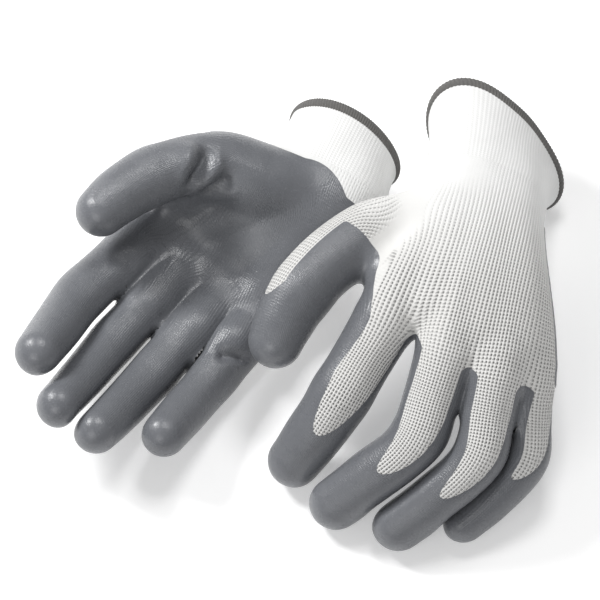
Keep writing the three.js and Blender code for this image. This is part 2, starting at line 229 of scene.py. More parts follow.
def glove_frame(side):
    """The wrist's middle and directions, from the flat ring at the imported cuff's inner end."""
    hem = node_points(side + "_cuff_hem")
    cuff = np.unique(node_points(side + "_cuff").round(3), axis=0)
    outwards = unit(hem.mean(0) - cuff.mean(0))
    for _ in range(4):
        ring = cuff[np.argsort(cuff @ outwards)[:len(cuff) // 3]]
        normal = np.linalg.svd(ring - ring.mean(0))[2][2]
        outwards = normal * np.sign(normal @ outwards)
    ring = cuff[cuff @ outwards < np.min(cuff @ outwards) + 0.1]
    wide = np.linalg.svd(ring - ring.mean(0))[2][0]
    towards_thumb = joint_at[side + "_index_root"] - joint_at[side + "_little_root"]
    wide = wide * np.sign(wide @ towards_thumb)
    high = np.cross(outwards, wide)
    high = high * np.sign(high[2])
    middle = np.zeros(3)
    for way in (wide, high, outwards):
        middle += way * 0.5 * (np.min(ring @ way) + np.max(ring @ way))
    return {"wrist": middle, "hem": hem, "thumbwards": wide, "outwards": outwards, "high": high}


def finger_bone(side, finger, glove):
    """The points of a finger's bone from the wrist to the middle of its round end."""
    root = joint_at[f"{side}_{finger}_root"]
    middle = joint_at[f"{side}_{finger}_middle"]
    axis = joint_axis[f"{side}_{finger}_middle"]
    wrist = glove["wrist"] + glove["thumbwards"] * WRIST_OFFSET[finger]
    if finger == "thumb":
        knuckle = glove["wrist"] + THUMB_KNUCKLE_SHARE * (root - glove["wrist"])
        knuckle = knuckle + np.array(THUMB_KNUCKLE_SHIFT)
    else:
        knuckle = root - (middle - root) * ROOT_SHARE / (1 - ROOT_SHARE)
    tip = node_points(f"{side}_{finger}_tip_coating")
    end = tip[np.argmax(np.linalg.norm(tip - middle, axis=1))]
    dorsal = unit(np.cross(end - middle, axis))
    bend = middle + BEND_SHARE * (end - middle) + BEND_RISE * dorsal
    end_ball = end - unit(end - bend) * (GIRTH[side][finger][5] + FILM_THICK)
    back = wrist + BEHIND_WRIST * glove["outwards"]
    return np.array([back, wrist, knuckle, root, middle, bend, end_ball])


def curve_through(points, radii, step):
    """A smooth curve through the points, its radii, and its length at each point."""
    knots = np.concatenate([[0], np.cumsum(np.linalg.norm(np.diff(points, axis=0), axis=1))])
    ways = np.gradient(points, knots, axis=0)
    ways[0], ways[-1] = points[1] - points[0], points[-1] - points[-2]
    ways[0] /= knots[1] - knots[0]
    ways[-1] /= knots[-1] - knots[-2]
    length = np.arange(0, knots[-1], step)
    k = np.clip(np.searchsorted(knots, length, side="right") - 1, 0, len(knots) - 2)
    span = (knots[k + 1] - knots[k])[:, None]
    t = (length[:, None] - knots[k][:, None]) / span
    h00, h10, h01, h11 = hermite(t)
    line = h00 * points[k] + h10 * span * ways[k] + h01 * points[k + 1] + h11 * span * ways[k + 1]
    return line, evened(np.interp(length, knots, radii), 7), length, knots


def chain_of(side, finger, glove):
    """A finger's middle line from behind the wrist to its tip, with its radii and directions.

    "s" is the length from the wrist, and "knots" the lengths of the points of its bone."""
    points = finger_bone(side, finger, glove)
    girth = GIRTH[side][finger]
    radii = np.array([girth[0], *girth])
    line, radius, length, knots = curve_through(points, radii, SAMPLE)
    radius = radius + JOINT_SWELL * np.exp(-(((length - knots[4]) / SWELL_REACH) ** 2))
    root_axis = joint_axis[f"{side}_{finger}_root"]
    root_axis = root_axis * np.sign(root_axis @ glove["thumbwards"])
    hand_axis = root_axis if finger == "thumb" else glove["thumbwards"]
    share = smooth(knots[2], knots[3], length)[:, None]
    across = hand_axis * (1 - share) + root_axis * share
    curl = joint_axis[f"{side}_{finger}_middle"]

    def directions(line):
        way = unit(np.gradient(line, axis=0))
        lateral = unit(across - way * np.sum(across * way, axis=1, keepdims=True))
        dorsal = np.cross(way, lateral)
        return way, lateral, dorsal * np.sign(dorsal[-20] @ np.cross(way[-20], curl))

    way, lateral, dorsal = directions(line)
    nudges = np.array(NUDGES[side].get(finger, ((0, 0),) * 5), float)
    for amounts, direction in zip(nudges.T, (lateral, dorsal)):
        amount = evened(np.interp(length, knots[1:], [0, *amounts]), 9)
        line = line + direction * amount[:, None]
    way, lateral, dorsal = directions(line)
    return {
        "finger": finger, "line": line, "radius": radius, "s": length - knots[1],
        "knots": knots - knots[1], "way": way, "lateral": lateral, "dorsal": dorsal,
    }


class Field:
    """Distances on a grid of voxels."""

    def __init__(self, low, high):
        self.low = low
        self.shape = tuple(np.ceil((high - low) / VOXEL).astype(int) + 1)

    def blank(self):
        return np.full(self.shape, FAR, np.float32)

    def ticks(self, axis, first, last):
        return self.low[axis] + VOXEL * np.arange(first, last)

    def add_balls(self, values, centres, radii, margin=9.0):
        """Lowers the values to the distance from a row of balls."""
        for centre, radius in zip(centres, radii):
            reach = radius + margin
            first = np.maximum(np.floor((centre - reach - self.low) / VOXEL).astype(int), 0)
            last = np.ceil((centre + reach - self.low) / VOXEL).astype(int) + 1
            last = np.minimum(last, self.shape)
            if np.any(last <= first):
                continue
            x, y, z = [
                (self.ticks(i, first[i], last[i]) - centre[i]).astype(np.float32) ** 2
                for i in range(3)
            ]
            away = np.sqrt(x[:, None, None] + y[None, :, None] + z[None, None, :])
            block = values[first[0]:last[0], first[1]:last[1], first[2]:last[2]]
            np.minimum(block, away - np.float32(radius), out=block)

    def along(self, cut):
        """How far each voxel is past a hinge."""
        x, y, z = [
            (self.ticks(i, 0, self.shape[i]) - cut["root"][i]) * cut["way"][i]
            for i in range(3)
        ]
        return x[:, None, None] + y[None, :, None] + z[None, None, :]


def join_smoothly(a, b, width):
    near = np.maximum(width - np.abs(a - b), 0) / width
    return np.minimum(a, b) - near * near * width * 0.25


def blurred(values):
    for axis in range(3):
        padded = np.pad(values, [(1, 1) if i == axis else (0, 0) for i in range(3)], mode="edge")
        parts = [np.take(padded, range(k, k + values.shape[axis]), axis) for k in range(3)]
        values = 0.25 * parts[0] + 0.5 * parts[1] + 0.25 * parts[2]
    return values


def sampled(field, values, points):
    """Values at points between the voxels, and their slope."""
    place = (points - field.low) / VOXEL
    limit = np.array(field.shape) - 2
    base = np.clip(np.floor(place).astype(int), 0, limit)
    f = np.clip(place - base, 0, 1)
    corner = {}
    for i in (0, 1):
        for j in (0, 1):
            for k in (0, 1):
                corner[i, j, k] = values[base[:, 0] + i, base[:, 1] + j, base[:, 2] + k]
    weight = [np.stack([1 - f[:, a], f[:, a]], 0) for a in range(3)]
    value = sum(c * weight[0][i] * weight[1][j] * weight[2][k] for (i, j, k), c in corner.items())
    sign = (-1, 1)
    slope = np.stack([
        sum(c * sign[i] * weight[1][j] * weight[2][k] for (i, j, k), c in corner.items()),
        sum(c * weight[0][i] * sign[j] * weight[2][k] for (i, j, k), c in corner.items()),
        sum(c * weight[0][i] * weight[1][j] * sign[k] for (i, j, k), c in corner.items()),
    ], -1) / VOXEL
    return value, slope


def on_surface(field, values, points, steps=4):
    """The points moved to where the values are nought."""
    for _ in range(steps):
        value, slope = sampled(field, values, points)
        points = points - slope * (value / np.maximum(np.sum(slope * slope, -1), 0.2))[:, None]
    return points


def surface_of(field, values):
    """The surface where the values are nought: points, quads and outward directions."""
    grid = openvdb.FloatGrid(FAR)
    grid.copyFromArray(values.astype(np.float32))
    points, quads = grid.convertToQuads(isovalue=0.0)
    points = on_surface(field, values, points.astype(float) * VOXEL + field.low, steps=3)
    _, slope = sampled(field, values, points)
    outward = unit(slope)
    corners = points[quads]
    facing = np.cross(corners[:, 2] - corners[:, 0], corners[:, 3] - corners[:, 1])
    if np.sum(facing * outward[quads].mean(1)) < 0:
        quads = quads[:, ::-1]
    return points, quads.astype(int), outward


def filler(one, other, side):
    """The middle line between two fingers' bones in the palm, and its radius."""
    share = np.linspace(0, 1, 60)

    def along(chain, key):
        place = share * (chain["knots"][2] - FILLED_TO)
        rows = np.atleast_2d(chain[key].T)
        return np.stack([np.interp(place, chain["s"], row) for row in rows], -1)

    line = 0.5 * (along(one, "line") + along(other, "line"))
    radius = 0.5 * (along(one, "radius") + along(other, "radius"))[:, 0]
    return line, radius + BETWEEN_FINGERS[side]


def grow_glove(side, chains, cuts):
    """One glove's fields: the hand with all its fingers, and with each finger alone."""
    line = np.concatenate([c["line"] for c in chains])
    field = Field(line.min(0) - ROOM, line.max(0) + ROOM)
    hand = None
    for chain in chains:
        palm = chain["s"] <= chain["knots"][2] + (20 if chain["finger"] == "thumb" else 0)
        limb = field.blank()
        thinner = 1.2 * smooth(-8, 0, (chain["s"] - chain["s"][palm][-1])[palm])
        field.add_balls(limb, chain["line"][palm], chain["radius"][palm] - thinner, MELT_REACH)
        hand = limb if hand is None else join_smoothly(hand, limb, LIMB_MELT)
    fill = field.blank()
    for one, other in zip(chains[1:], chains[2:]):
        field.add_balls(fill, *filler(one, other, side), MELT_REACH)
    thumb, index = chains[:2]
    for index_s, thumb_s in WEB_ROWS[side]:
        start = index["line"][np.argmin(np.abs(index["s"] - index_s))]
        end = thumb["line"][np.argmin(np.abs(thumb["s"] - thumb_s))]
        row = start + np.linspace(0, 1, 40)[:, None] * (end - start)
        field.add_balls(fill, row, np.full(len(row), WEB_RADIUS), MELT_REACH)
    hand = join_smoothly(hand, fill, PART_MELT)
    fingers = []
    for chain in chains:
        free = chain["s"] >= chain["knots"][2] - 6
        thinner = 1.6 * (1 - smooth(0, 10, (chain["s"] - chain["s"][free][0])[free]))
        finger = field.blank()
        field.add_balls(finger, chain["line"][free], chain["radius"][free] - thinner)
        fingers.append(finger)
    whole = blurred(join_smoothly(hand, np.minimum.reduce(fingers), PART_MELT))
    gap = 2 * FILM_THICK + FINGER_GAP
    alone = []
    for k, finger in enumerate(fingers):
        others = np.minimum.reduce([f for i, f in enumerate(fingers) if i != k])
        midway = 0.5 * (finger - others) + 0.5 * gap
        pressed = -join_smoothly(-finger, -midway, PRESSED_MELT)
        free = blurred(join_smoothly(hand, pressed, PART_MELT))
        ahead = cuts[k]["ahead"]
        share = smooth(ahead - 0.3, ahead + WEB_LENGTH, field.along(cuts[k]))
        alone.append(whole + (free - whole) * share)
    return field, whole, alone


def place_on(chains, finger, s, sideways, upward):
    """A point given by its length along a finger's bone and its place round it."""
    chain = chains[FINGERS.index(finger)]
    k = np.argmin(np.abs(chain["s"] - s))
    return chain["line"][k] + sideways * chain["lateral"][k] + upward * chain["dorsal"][k]


def palm_shapes(side, field, values, chains):
    """The palm's pads and folds, each a path on the surface with its width and heights."""
    shapes = []
    for finger, s, sideways, upward, reach, height in PADS[side]:
        centre = on_surface(field, values, place_on(chains, finger, s, sideways, upward)[None])
        shapes.append((centre, reach, height, 0.0))
    for width, depth, lip, *places in FOLDS[side]:
        path = np.array([place_on(chains, *place) for place in places])
        knots = np.linspace(0, 1, len(path))
        fine = np.linspace(0, 1, 48)
        path = np.stack([np.interp(fine, knots, row) for row in path.T], -1)
        path = on_surface(field, values, path)
        for _ in range(4):
            path[1:-1] = (path[:-2] + 2 * path[1:-1] + path[2:]) / 4
        shapes.append((path, width, -depth, lip))
    return shapes


def raised_by(shapes, points):
    """How far the pads stand out and the folds go in at each point."""
    total = np.zeros(len(points))
    for path, width, height, lip in shapes:
        away = np.full(len(points), 1e9)
        strength = np.ones(len(points))
        for share, place in zip(np.linspace(0, 1, len(path)), path):
            apart = np.sum((points - place) ** 2, axis=1)
            closer = apart < away
            away[closer] = apart[closer]
            if len(path) > 1:
                strength[closer] = min(1.0, 4 * min(share, 1 - share) + 0.1)
        away = np.sqrt(away) / width
        push = height * np.exp(-(away**2)) + lip * np.exp(-((away - 1.9) ** 2) / 0.7)
        total += push * strength
    return total


def facing_of(points, quads):
    """Which way the surface faces at each point."""
    corners = points[quads]
    faces = np.cross(corners[:, 2] - corners[:, 0], corners[:, 3] - corners[:, 1])
    total = np.zeros_like(points)
    for k in range(4):
        np.add.at(total, quads[:, k], faces)
    return unit(total)


def nearest_on(chain, points):
    """For each point: length along the chain, place sideways and upwards, distance, radius."""
    best = np.full(len(points), 1e9)
    at = np.zeros(len(points), int)
    for k in range(len(chain["line"])):
        away = np.sum((points - chain["line"][k]) ** 2, axis=1)
        closer = away < best
        best[closer] = away[closer]
        at[closer] = k
    off = points - chain["line"][at]
    along = np.sum(off * chain["way"][at], axis=1)
    s = chain["s"][at] + along
    inner = np.clip(at + along / SAMPLE, 0, len(chain["line"]) - 1.001)
    k = inner.astype(int)
    after = np.minimum(k + 1, len(chain["line"]) - 1)

    def between(key):
        values = chain[key]
        f = inner - k if values.ndim == 1 else (inner - k)[:, None]
        return values[k] * (1 - f) + values[after] * f

    off = points - between("line")
    sideways = np.sum(off * between("lateral"), axis=1)
    upward = np.sum(off * between("dorsal"), axis=1)
    radius = between("radius")
    return s, sideways, upward, np.linalg.norm(off, axis=1) - radius, radius


def fanned(across, ahead):
    """The column of stitches at a place on the hand, counted across its wrist in mm.

    The columns fan out from the wrist, and those at its side turn to the thumb."""
    low, high = np.full(len(across), -90.0), np.full(len(across), 90.0)
    for _ in range(26):
        middle = 0.5 * (low + high)
        spread = middle + np.clip(ahead, 0, 90) * np.interp(middle, COLUMNS, COLUMN_SLOPES)
        low = np.where(spread < across, middle, low)
        high = np.where(spread < across, high, middle)
    return 0.5 * (low + high)


def knit_places(side, glove, chains, points):
    """Stitch coordinates, coating depth and nearest finger of each point."""
    found = [nearest_on(chain, points) for chain in chains]
    gap = np.stack([f[3] for f in found], 0)
    weight = np.exp(-(gap - gap.min(0)) / KNIT_BLEND)
    weight /= weight.sum(0)
    places = []
    for chain, (s, sideways, upward, _, radius) in zip(chains, found):
        line_across = (chain["line"] - glove["wrist"]) @ glove["thumbwards"]
        leaves = THUMB_LEAVES if chain["finger"] == "thumb" else chain["knots"][2]
        girth = radius * np.arctan2(sideways, np.abs(upward) + 1e-3)
        on_hand = fanned(np.interp(s, chain["s"], line_across) + girth, s)
        middle = fanned(np.interp([leaves], chain["s"], line_across), np.array([leaves]))
        share = smooth(leaves - 5, leaves + 20, s)
        places.append((on_hand * (1 - share) + (middle + FINGER_COLUMNS * girth) * share, s))
    places = np.array(places)
    u, v = (weight[:, None] * places).sum(0)
    apart = np.sqrt((weight * ((places - [u, v]) ** 2).sum(1)).sum(0))
    torn = 4 * weight[0] * (1 - weight[0]) * smooth(*THUMB_TORN, found[0][0])
    round_tip = sum(
        w * smooth(-1, 5, s - chain["s"][-1]) for w, chain, (s, *_) in zip(weight, chains, found)
    )
    plain = np.clip(1 - torn - round_tip - smooth(*UNEVEN, apart), 0, 1)
    coat = np.zeros(len(points))
    for w, chain, (s, sideways, upward, _, radius) in zip(weight, chains, found):
        coat += w * coat_depth(side, chain, s, sideways, upward, radius)
    off = points - glove["wrist"]
    across = off @ glove["thumbwards"]
    most = np.where(across > 0, HEEL_BOW_MOST[side], HEEL_BOW_MOST["left"])
    bow = np.minimum(HEEL_BOW * (across - HEEL_MIDDLE) ** 2, most)
    heel = -off @ glove["outwards"] - HEEL - bow
    return np.stack([u, v, np.minimum(coat, heel), plain], -1), gap.argmin(0)


def coat_depth(side, chain, s, sideways, upward, radius):
    """Millimetres inside the coating's edge; below nought the knit is bare."""
    knots, finger = chain["knots"], chain["finger"]
    centre, drift, widest, blunt, past = TONGUES[side][finger]
    back = knots[4] + past - s  # behind the tongue's end
    middle = np.radians(centre + drift * np.clip(back, 0, 45) / 30)
    turn = np.angle(np.exp(1j * (np.arctan2(sideways, upward) - middle)))
    across = np.abs(turn) * radius
    round_end = ((across / blunt) ** 2 - back) / np.sqrt((2 * across / blunt**2) ** 2 + 1)
    on_finger = np.maximum(round_end, across - widest)
    level = COATED_UP_TO[side].get(finger, COATED_PALM)
    if side == "right" and finger == "index":
        rise, lengths = HEEL_RISE
        level = level + rise * (1 - smooth(*lengths, s))
    if finger == "index":
        rise, lengths, out = INDEX_RISE
        level = level + rise * smooth(*lengths, s) * smooth(*out, sideways)
    on_hand = level - upward
    if finger == "thumb":
        share = smooth(knots[3] + 2, knots[3] + 8, s)
    else:
        share = smooth(knots[2] - 1, knots[2] + 5, s)
    return on_hand * (1 - share) + on_finger * share


def make_mesh(name, points, faces, normals, attributes, material):
    mesh = bpy.data.meshes.new(name)
    mesh.vertices.add(len(points))
    mesh.vertices.foreach_set("co", (points * MM).astype(np.float32).ravel())
    count = faces.shape[1]
    mesh.loops.add(faces.size)
    mesh.loops.foreach_set("vertex_index", faces.astype(np.int32).ravel())
    mesh.polygons.add(len(faces))
    mesh.polygons.foreach_set("loop_start", (np.arange(len(faces)) * count).astype(np.int32))
    mesh.update(calc_edges=True)
    mesh.validate()
    mesh.polygons.foreach_set("use_smooth", np.ones(len(mesh.polygons), bool))
    for key, values in attributes.items():
        layer = mesh.attributes.new(key, "FLOAT_VECTOR", "POINT")
        layer.data.foreach_set("vector", values.astype(np.float32).ravel())
    if normals is not None:
        mesh.normals_split_custom_set_from_vertices(normals.tolist())
    thing = bpy.data.objects.new(name, mesh)
    bpy.context.scene.collection.objects.link(thing)
    mesh.materials.append(material)
    return thing


def cut_piece(name, keep, surface, offset, material):
    """The faces that are kept, as a piece of their own."""
    points, quads, outward, knit = surface
    faces = quads[keep]
    used, renumbered = np.unique(faces, return_inverse=True)
    moved = points[used] + outward[used] * offset[used][:, None]
    lowest = np.where(offset[used] > 0, 0.0, BARE_REST)
    moved[:, 2] = np.maximum(moved[:, 2], lowest)
    attributes = {"knit": knit[used, :3], "plain": np.repeat(knit[used, 3:], 3, axis=1)}
    faces = renumbered.reshape(-1, 4)
    return make_mesh(name, moved, faces, outward[used], attributes, material)


def nodes_of(material):
    material.use_nodes = True
    tree = material.node_tree
    shader = tree.nodes["Principled BSDF"]
    return tree, shader


class Wires:
    """Short names for making shader nodes."""

    def __init__(self, tree):
        self.tree = tree

    def math(self, operation, a, b=None, clamp=False):
        node = self.tree.nodes.new("ShaderNodeMath")
        node.operation = operation
        node.use_clamp = clamp
        for socket, value in zip(node.inputs, (a, b)):
            self.feed(socket, value)
        return node.outputs[0]

    def feed(self, socket, value):
        """Sets a number or a colour, or links another node's output."""
        if isinstance(value, (int, float)):
            socket.default_value = value
        elif isinstance(value, tuple):
            socket.default_value = (*value, 1)
        elif value is not None:
            self.tree.links.new(value, socket)

    def clamped(self, value):
        return self.math("ADD", value, 0.0, clamp=True)

    def noise(self, scale, detail=3.0, vector=None, roughness=0.55):
        node = self.tree.nodes.new("ShaderNodeTexNoise")
        node.inputs["Scale"].default_value = scale
        node.inputs["Detail"].default_value = detail
        node.inputs["Roughness"].default_value = roughness
        self.feed(node.inputs["Vector"], vector)
        return node.outputs["Fac"]

    def mix(self, share, a, b):
        node = self.tree.nodes.new("ShaderNodeMix")
        node.data_type = "RGBA"
        self.feed(node.inputs["Factor"], share)
        self.feed(node.inputs["A"], a)
        self.feed(node.inputs["B"], b)
        return node.outputs["Result"]

    def bump(self, height, distance, strength=1.0, normal=None):
        node = self.tree.nodes.new("ShaderNodeBump")
        node.inputs["Distance"].default_value = distance
        node.inputs["Strength"].default_value = strength
        self.tree.links.new(height, node.inputs["Height"])
        self.feed(node.inputs["Normal"], normal)
        return node.outputs["Normal"]

    def attribute(self, name):
        node = self.tree.nodes.new("ShaderNodeAttribute")
        node.attribute_name = name
        return node

    def plain(self):
        """1 where the columns of stitches run evenly, 0 where they crowd together."""
        return self.attribute("plain").outputs["Fac"]

    def knit(self):
        """Millimetres across the columns of stitches and along them."""
        split = self.tree.nodes.new("ShaderNodeSeparateXYZ")
        self.tree.links.new(self.attribute("knit").outputs["Vector"], split.inputs[0])
        return split.outputs[0], split.outputs[1]

    def place(self):
        node = self.tree.nodes.new("ShaderNodeTexCoord")
        return node.outputs["Object"]


def stitches(w, u, v, wale, course):
    """Height of the knit's loops, and how deep the hole between the columns is."""
    across = w.math("SUBTRACT", w.math("FRACT", w.math("DIVIDE", u, wale)), 0.5)
    far = w.math("ABSOLUTE", across)
    leaning = w.math("ADD", w.math("DIVIDE", v, course), far)
    row = w.math("COSINE", w.math("MULTIPLY", leaning, 2 * math.pi))
    column = w.math("COSINE", w.math("MULTIPLY", across, 2 * math.pi))
    height = w.math("ADD", w.math("MULTIPLY", column, 0.32), w.math("MULTIPLY", row, 0.18))
    between_rows = w.math("ADD", w.math("MULTIPLY", row, -0.9), 0.6)
    between_columns = w.math("SUBTRACT", w.math("MULTIPLY", far, 5.5), 1.7)
    hole = w.math("MULTIPLY", w.clamped(between_columns), w.clamped(between_rows))
    return height, hole


def knit_material():
    """White yarn; the holes between its columns are painted near black as shade, more where it is
    stretched.
    """
    material = bpy.data.materials.new("white_knit")
    tree, shader = nodes_of(material)
    w = Wires(tree)
    u, v = w.knit()
    height, hole = stitches(w, u, v, WALE, COURSE)
    patches = w.math("SUBTRACT", w.noise(20, 2, w.place()), 0.25)
    patches = w.clamped(w.math("MULTIPLY", patches, 2.4))
    patchy = w.math("ADD", w.math("MULTIPLY", patches, 0.75), 0.3)
    past_wrist = w.clamped(w.math("DIVIDE", w.math("SUBTRACT", v, 8), 52))
    stretched = w.math("ADD", w.math("MULTIPLY", past_wrist, patchy), 0.1)
    # Painted shade: the stitch holes are darkened in colour, more where the knit is stretched.
    hole_shade = w.math("MULTIPLY", w.math("MULTIPLY", hole, w.plain()), stretched)
    soft = w.noise(90, 3, w.place())
    yarn = w.noise(2600, 2, w.place())
    worn = w.mix(soft, (0.81, 0.81, 0.805), (0.72, 0.72, 0.71))
    # The knit is painted darker further past the wrist, towards the fingers.
    darker_past_wrist = w.mix(w.math("MULTIPLY", past_wrist, 0.6), worn, (0.62, 0.61, 0.59))
    colour = w.mix(w.clamped(hole_shade), darker_past_wrist, (0.03, 0.03, 0.032))
    tree.links.new(colour, shader.inputs["Base Color"])
    shader.inputs["Roughness"].default_value = 0.85
    shader.inputs["Sheen Weight"].default_value = 0.15
    shader.inputs["Specular IOR Level"].default_value = 0.25
    loops = w.math("SUBTRACT", height, w.math("MULTIPLY", hole, 0.6))
    share = w.math("MULTIPLY", w.plain(), w.math("ADD", past_wrist, 0.25))
    raised = w.math("ADD", w.math("MULTIPLY", loops, share), w.math("MULTIPLY", yarn, 0.12))
    tree.links.new(w.bump(raised, 0.0005, 0.9), shader.inputs["Normal"])
    return material


def film_material():
    """Grey nitrile, thin enough that the knit's loops show through it as a fine relief."""
    material = bpy.data.materials.new("grey_nitrile")
    tree, shader = nodes_of(material)
    w = Wires(tree)
    u, v = w.knit()
    height, hole = stitches(w, u, v, WALE * 0.5, COURSE * 0.75)
    patches = w.noise(38, 4, w.place())
    grain = w.noise(1300, 2, w.place(), 0.6)
    # The grain is real relief; where it is high, the colour is painted lighter as glints.
    glint_specks = w.clamped(w.math("MULTIPLY", w.math("SUBTRACT", grain, 0.56), 5.0))
    tone = w.mix(patches, (0.112, 0.117, 0.129), (0.170, 0.176, 0.190))
    # Painted shade: the stitch holes pressed into the film are darkened in colour.
    film_hole_shade = w.math("MULTIPLY", w.math("MULTIPLY", hole, w.plain()), 0.45)
    with_hole_shade = w.mix(film_hole_shade, tone, (0.05, 0.051, 0.056))
    colour = w.mix(w.math("MULTIPLY", glint_specks, 0.3), with_hole_shade, (0.30, 0.31, 0.33))
    tree.links.new(colour, shader.inputs["Base Color"])
    rough = w.math("ADD", w.math("MULTIPLY", w.noise(150, 3, w.place()), 0.26), 0.16)
    tree.links.new(rough, shader.inputs["Roughness"])
    shader.inputs["Specular IOR Level"].default_value = 0.5
    pressed = w.bump(w.math("MULTIPLY", height, w.plain()), 0.00014, 0.6)
    tree.links.new(w.bump(grain, 0.00022, 0.6, pressed), shader.inputs["Normal"])
    return material


def rib_material():
    """The cuff's close rib, whiter and smoother than the hand's knit."""
    material = bpy.data.materials.new("white_rib")
    tree, shader = nodes_of(material)
    w = Wires(tree)
    u, v = w.knit()
    height, hole = stitches(w, u, v, RIB_WALE, RIB_COURSE)
    soft = w.noise(120, 3, w.place())
    worn = w.mix(soft, (0.81, 0.81, 0.805), (0.74, 0.74, 0.73))
    # Painted shade: the rib's stitch holes are darkened a little in colour.
    colour = w.mix(w.math("MULTIPLY", hole, 0.12), worn, (0.3, 0.3, 0.31))
    tree.links.new(colour, shader.inputs["Base Color"])
    shader.inputs["Roughness"].default_value = 0.85
    shader.inputs["Sheen Weight"].default_value = 0.15
    shader.inputs["Specular IOR Level"].default_value = 0.25
    tree.links.new(w.bump(height, 0.0003, 0.4), shader.inputs["Normal"])
    return material


def hem_material():
    """Dark grey overlock thread."""
    material = bpy.data.materials.new("dark_overlock")
    tree, shader = nodes_of(material)
    w = Wires(tree)
    fluff = w.noise(1500, 3, w.place())
    colour = w.mix(fluff, (0.065, 0.063, 0.061), (0.17, 0.165, 0.158))
    tree.links.new(colour, shader.inputs["Base Color"])
    shader.inputs["Roughness"].default_value = 0.88
    shader.inputs["Sheen Weight"].default_value = 0.1
    tree.links.new(w.bump(fluff, 0.0003, 0.6), shader.inputs["Normal"])
    return material


def wrist_outline(field, whole, middle, wide, high, angles):
    """Where the hand's surface is round a point at the wrist, at each angle."""
    ways = np.cos(angles)[:, None] * wide + np.sin(angles)[:, None] * high
    near, far = np.zeros(len(angles)), np.full(len(angles), 60.0)
    for _ in range(24):
        half = 0.5 * (near + far)
        value, _ = sampled(field, whole, middle + ways * half[:, None])
        inside = value < 0
        near = np.where(inside, half, near)
        far = np.where(inside, far, half)
    return middle + ways * near[:, None]


def rim_outline(glove, wide, high, angles):
    """The cuff's open edge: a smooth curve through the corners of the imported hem."""
    hem = glove["hem"]
    middle = 0.5 * (hem.min(0) + hem.max(0))
    off = hem - middle
    turn = np.arctan2(off @ high, off @ wide)
    reach = np.hypot(off @ high, off @ wide)
    behind = off @ glove["outwards"]

    def waves(angle):
        rising = [f(k * angle) for k in range(1, 5) for f in (np.cos, np.sin)]
        return np.stack([np.ones_like(angle), *rising], -1)

    def fitted(values):
        return (waves(angles) @ np.linalg.lstsq(waves(turn), values, rcond=None)[0])[:, None]

    ways = np.cos(angles)[:, None] * wide + np.sin(angles)[:, None] * high
    return middle + ways * (fitted(reach) + RIM_OUT) + glove["outwards"] * (fitted(behind) + RIM_ON)


def ring_faces(rows, columns):
    k, i = np.meshgrid(np.arange(rows - 1), np.arange(columns), indexing="ij")
    j = (i + 1) % columns
    low, high = k * columns, (k + 1) * columns
    return np.stack([low + i, low + j, high + j, high + i], -1).reshape(-1, 4)


def turned_out(points, faces, out):
    """The faces, turned over if the first one faces away from the direction out."""
    corner = points[faces[0]]
    if np.dot(np.cross(corner[1] - corner[0], corner[3] - corner[0]), out) < 0:
        return faces[:, ::-1]
    return faces


def make_cuff(side, glove, field, whole, materials):
    """The rib sleeve from the wrist to the open end, doubled back inside, and its hem."""
    outwards, wide, high = glove["outwards"], glove["thumbwards"], glove["high"]
    angles = np.linspace(0, 2 * math.pi, CUFF_SIDES, endpoint=False)
    start, before = [
        wrist_outline(field, whole, glove["wrist"] - outwards * inside, wide, high, angles)
        for inside in (CUFF_INSIDE, CUFF_BEFORE)
    ]
    rim = rim_outline(glove, wide, high, angles)
    for _ in range(3):
        rim = (np.roll(rim, 1, 0) + 2 * rim + np.roll(rim, -1, 0)) / 4
    span = np.linalg.norm(rim - start, axis=1, keepdims=True)
    leave = unit(start - before) * span
    radial = unit(rim - rim.mean(0))
    arrive = unit(unit(rim - start) + CUFF_FLARE * radial) * span
    places = np.linspace(0, 1, CUFF_ROWS)
    rings = []
    for h00, h10, h01, h11 in map(hermite, places):
        rings.append(h00 * start + h10 * leave + h01 * rim + h11 * arrive)
    outer = np.array(rings)
    across = np.gradient(outer, axis=1)
    along = np.gradient(outer, axis=0)
    out = unit(np.cross(across, along))
    middle = outer.mean(1, keepdims=True)
    if np.sum(out * (outer - middle)) < 0:
        out = -out
    raised = (CUFF_PROUD + CUFF_SUNK) * smooth(0.03, 0.2, places) - CUFF_SUNK
    outer = outer + out * raised[:, None, None]
    inner = outer - out * CUFF_THICK
    both = np.concatenate([outer, inner[::-1]])
    facing = np.concatenate([out, -out[::-1]])
    perimeter = np.linalg.norm(np.diff(outer[CUFF_ROWS // 2], axis=0), axis=1).sum()
    u = np.tile(angles / (2 * math.pi) * perimeter, (2 * CUFF_ROWS, 1))
    length = np.linalg.norm(np.diff(outer, axis=0), axis=2).mean(1).cumsum()
    v = np.concatenate([[0], length])
    v = np.concatenate([v, v[::-1]])[:, None] * np.ones((1, len(angles)))
    knit = np.stack([u, v, 0 * u], -1)
    points, facing = both.reshape(-1, 3), facing.reshape(-1, 3)
    faces = turned_out(points, ring_faces(2 * CUFF_ROWS, CUFF_SIDES), facing[0])
    attributes = {"knit": knit.reshape(-1, 3)}
    cuff = make_mesh(f"{side}_rib_cuff", points, faces, facing, attributes, materials["cuff"])
    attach(cuff, side + "_glove")
    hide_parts(side + "_cuff")
    make_hem(side, outer[-1], out[-1], unit(along[-1]), materials)


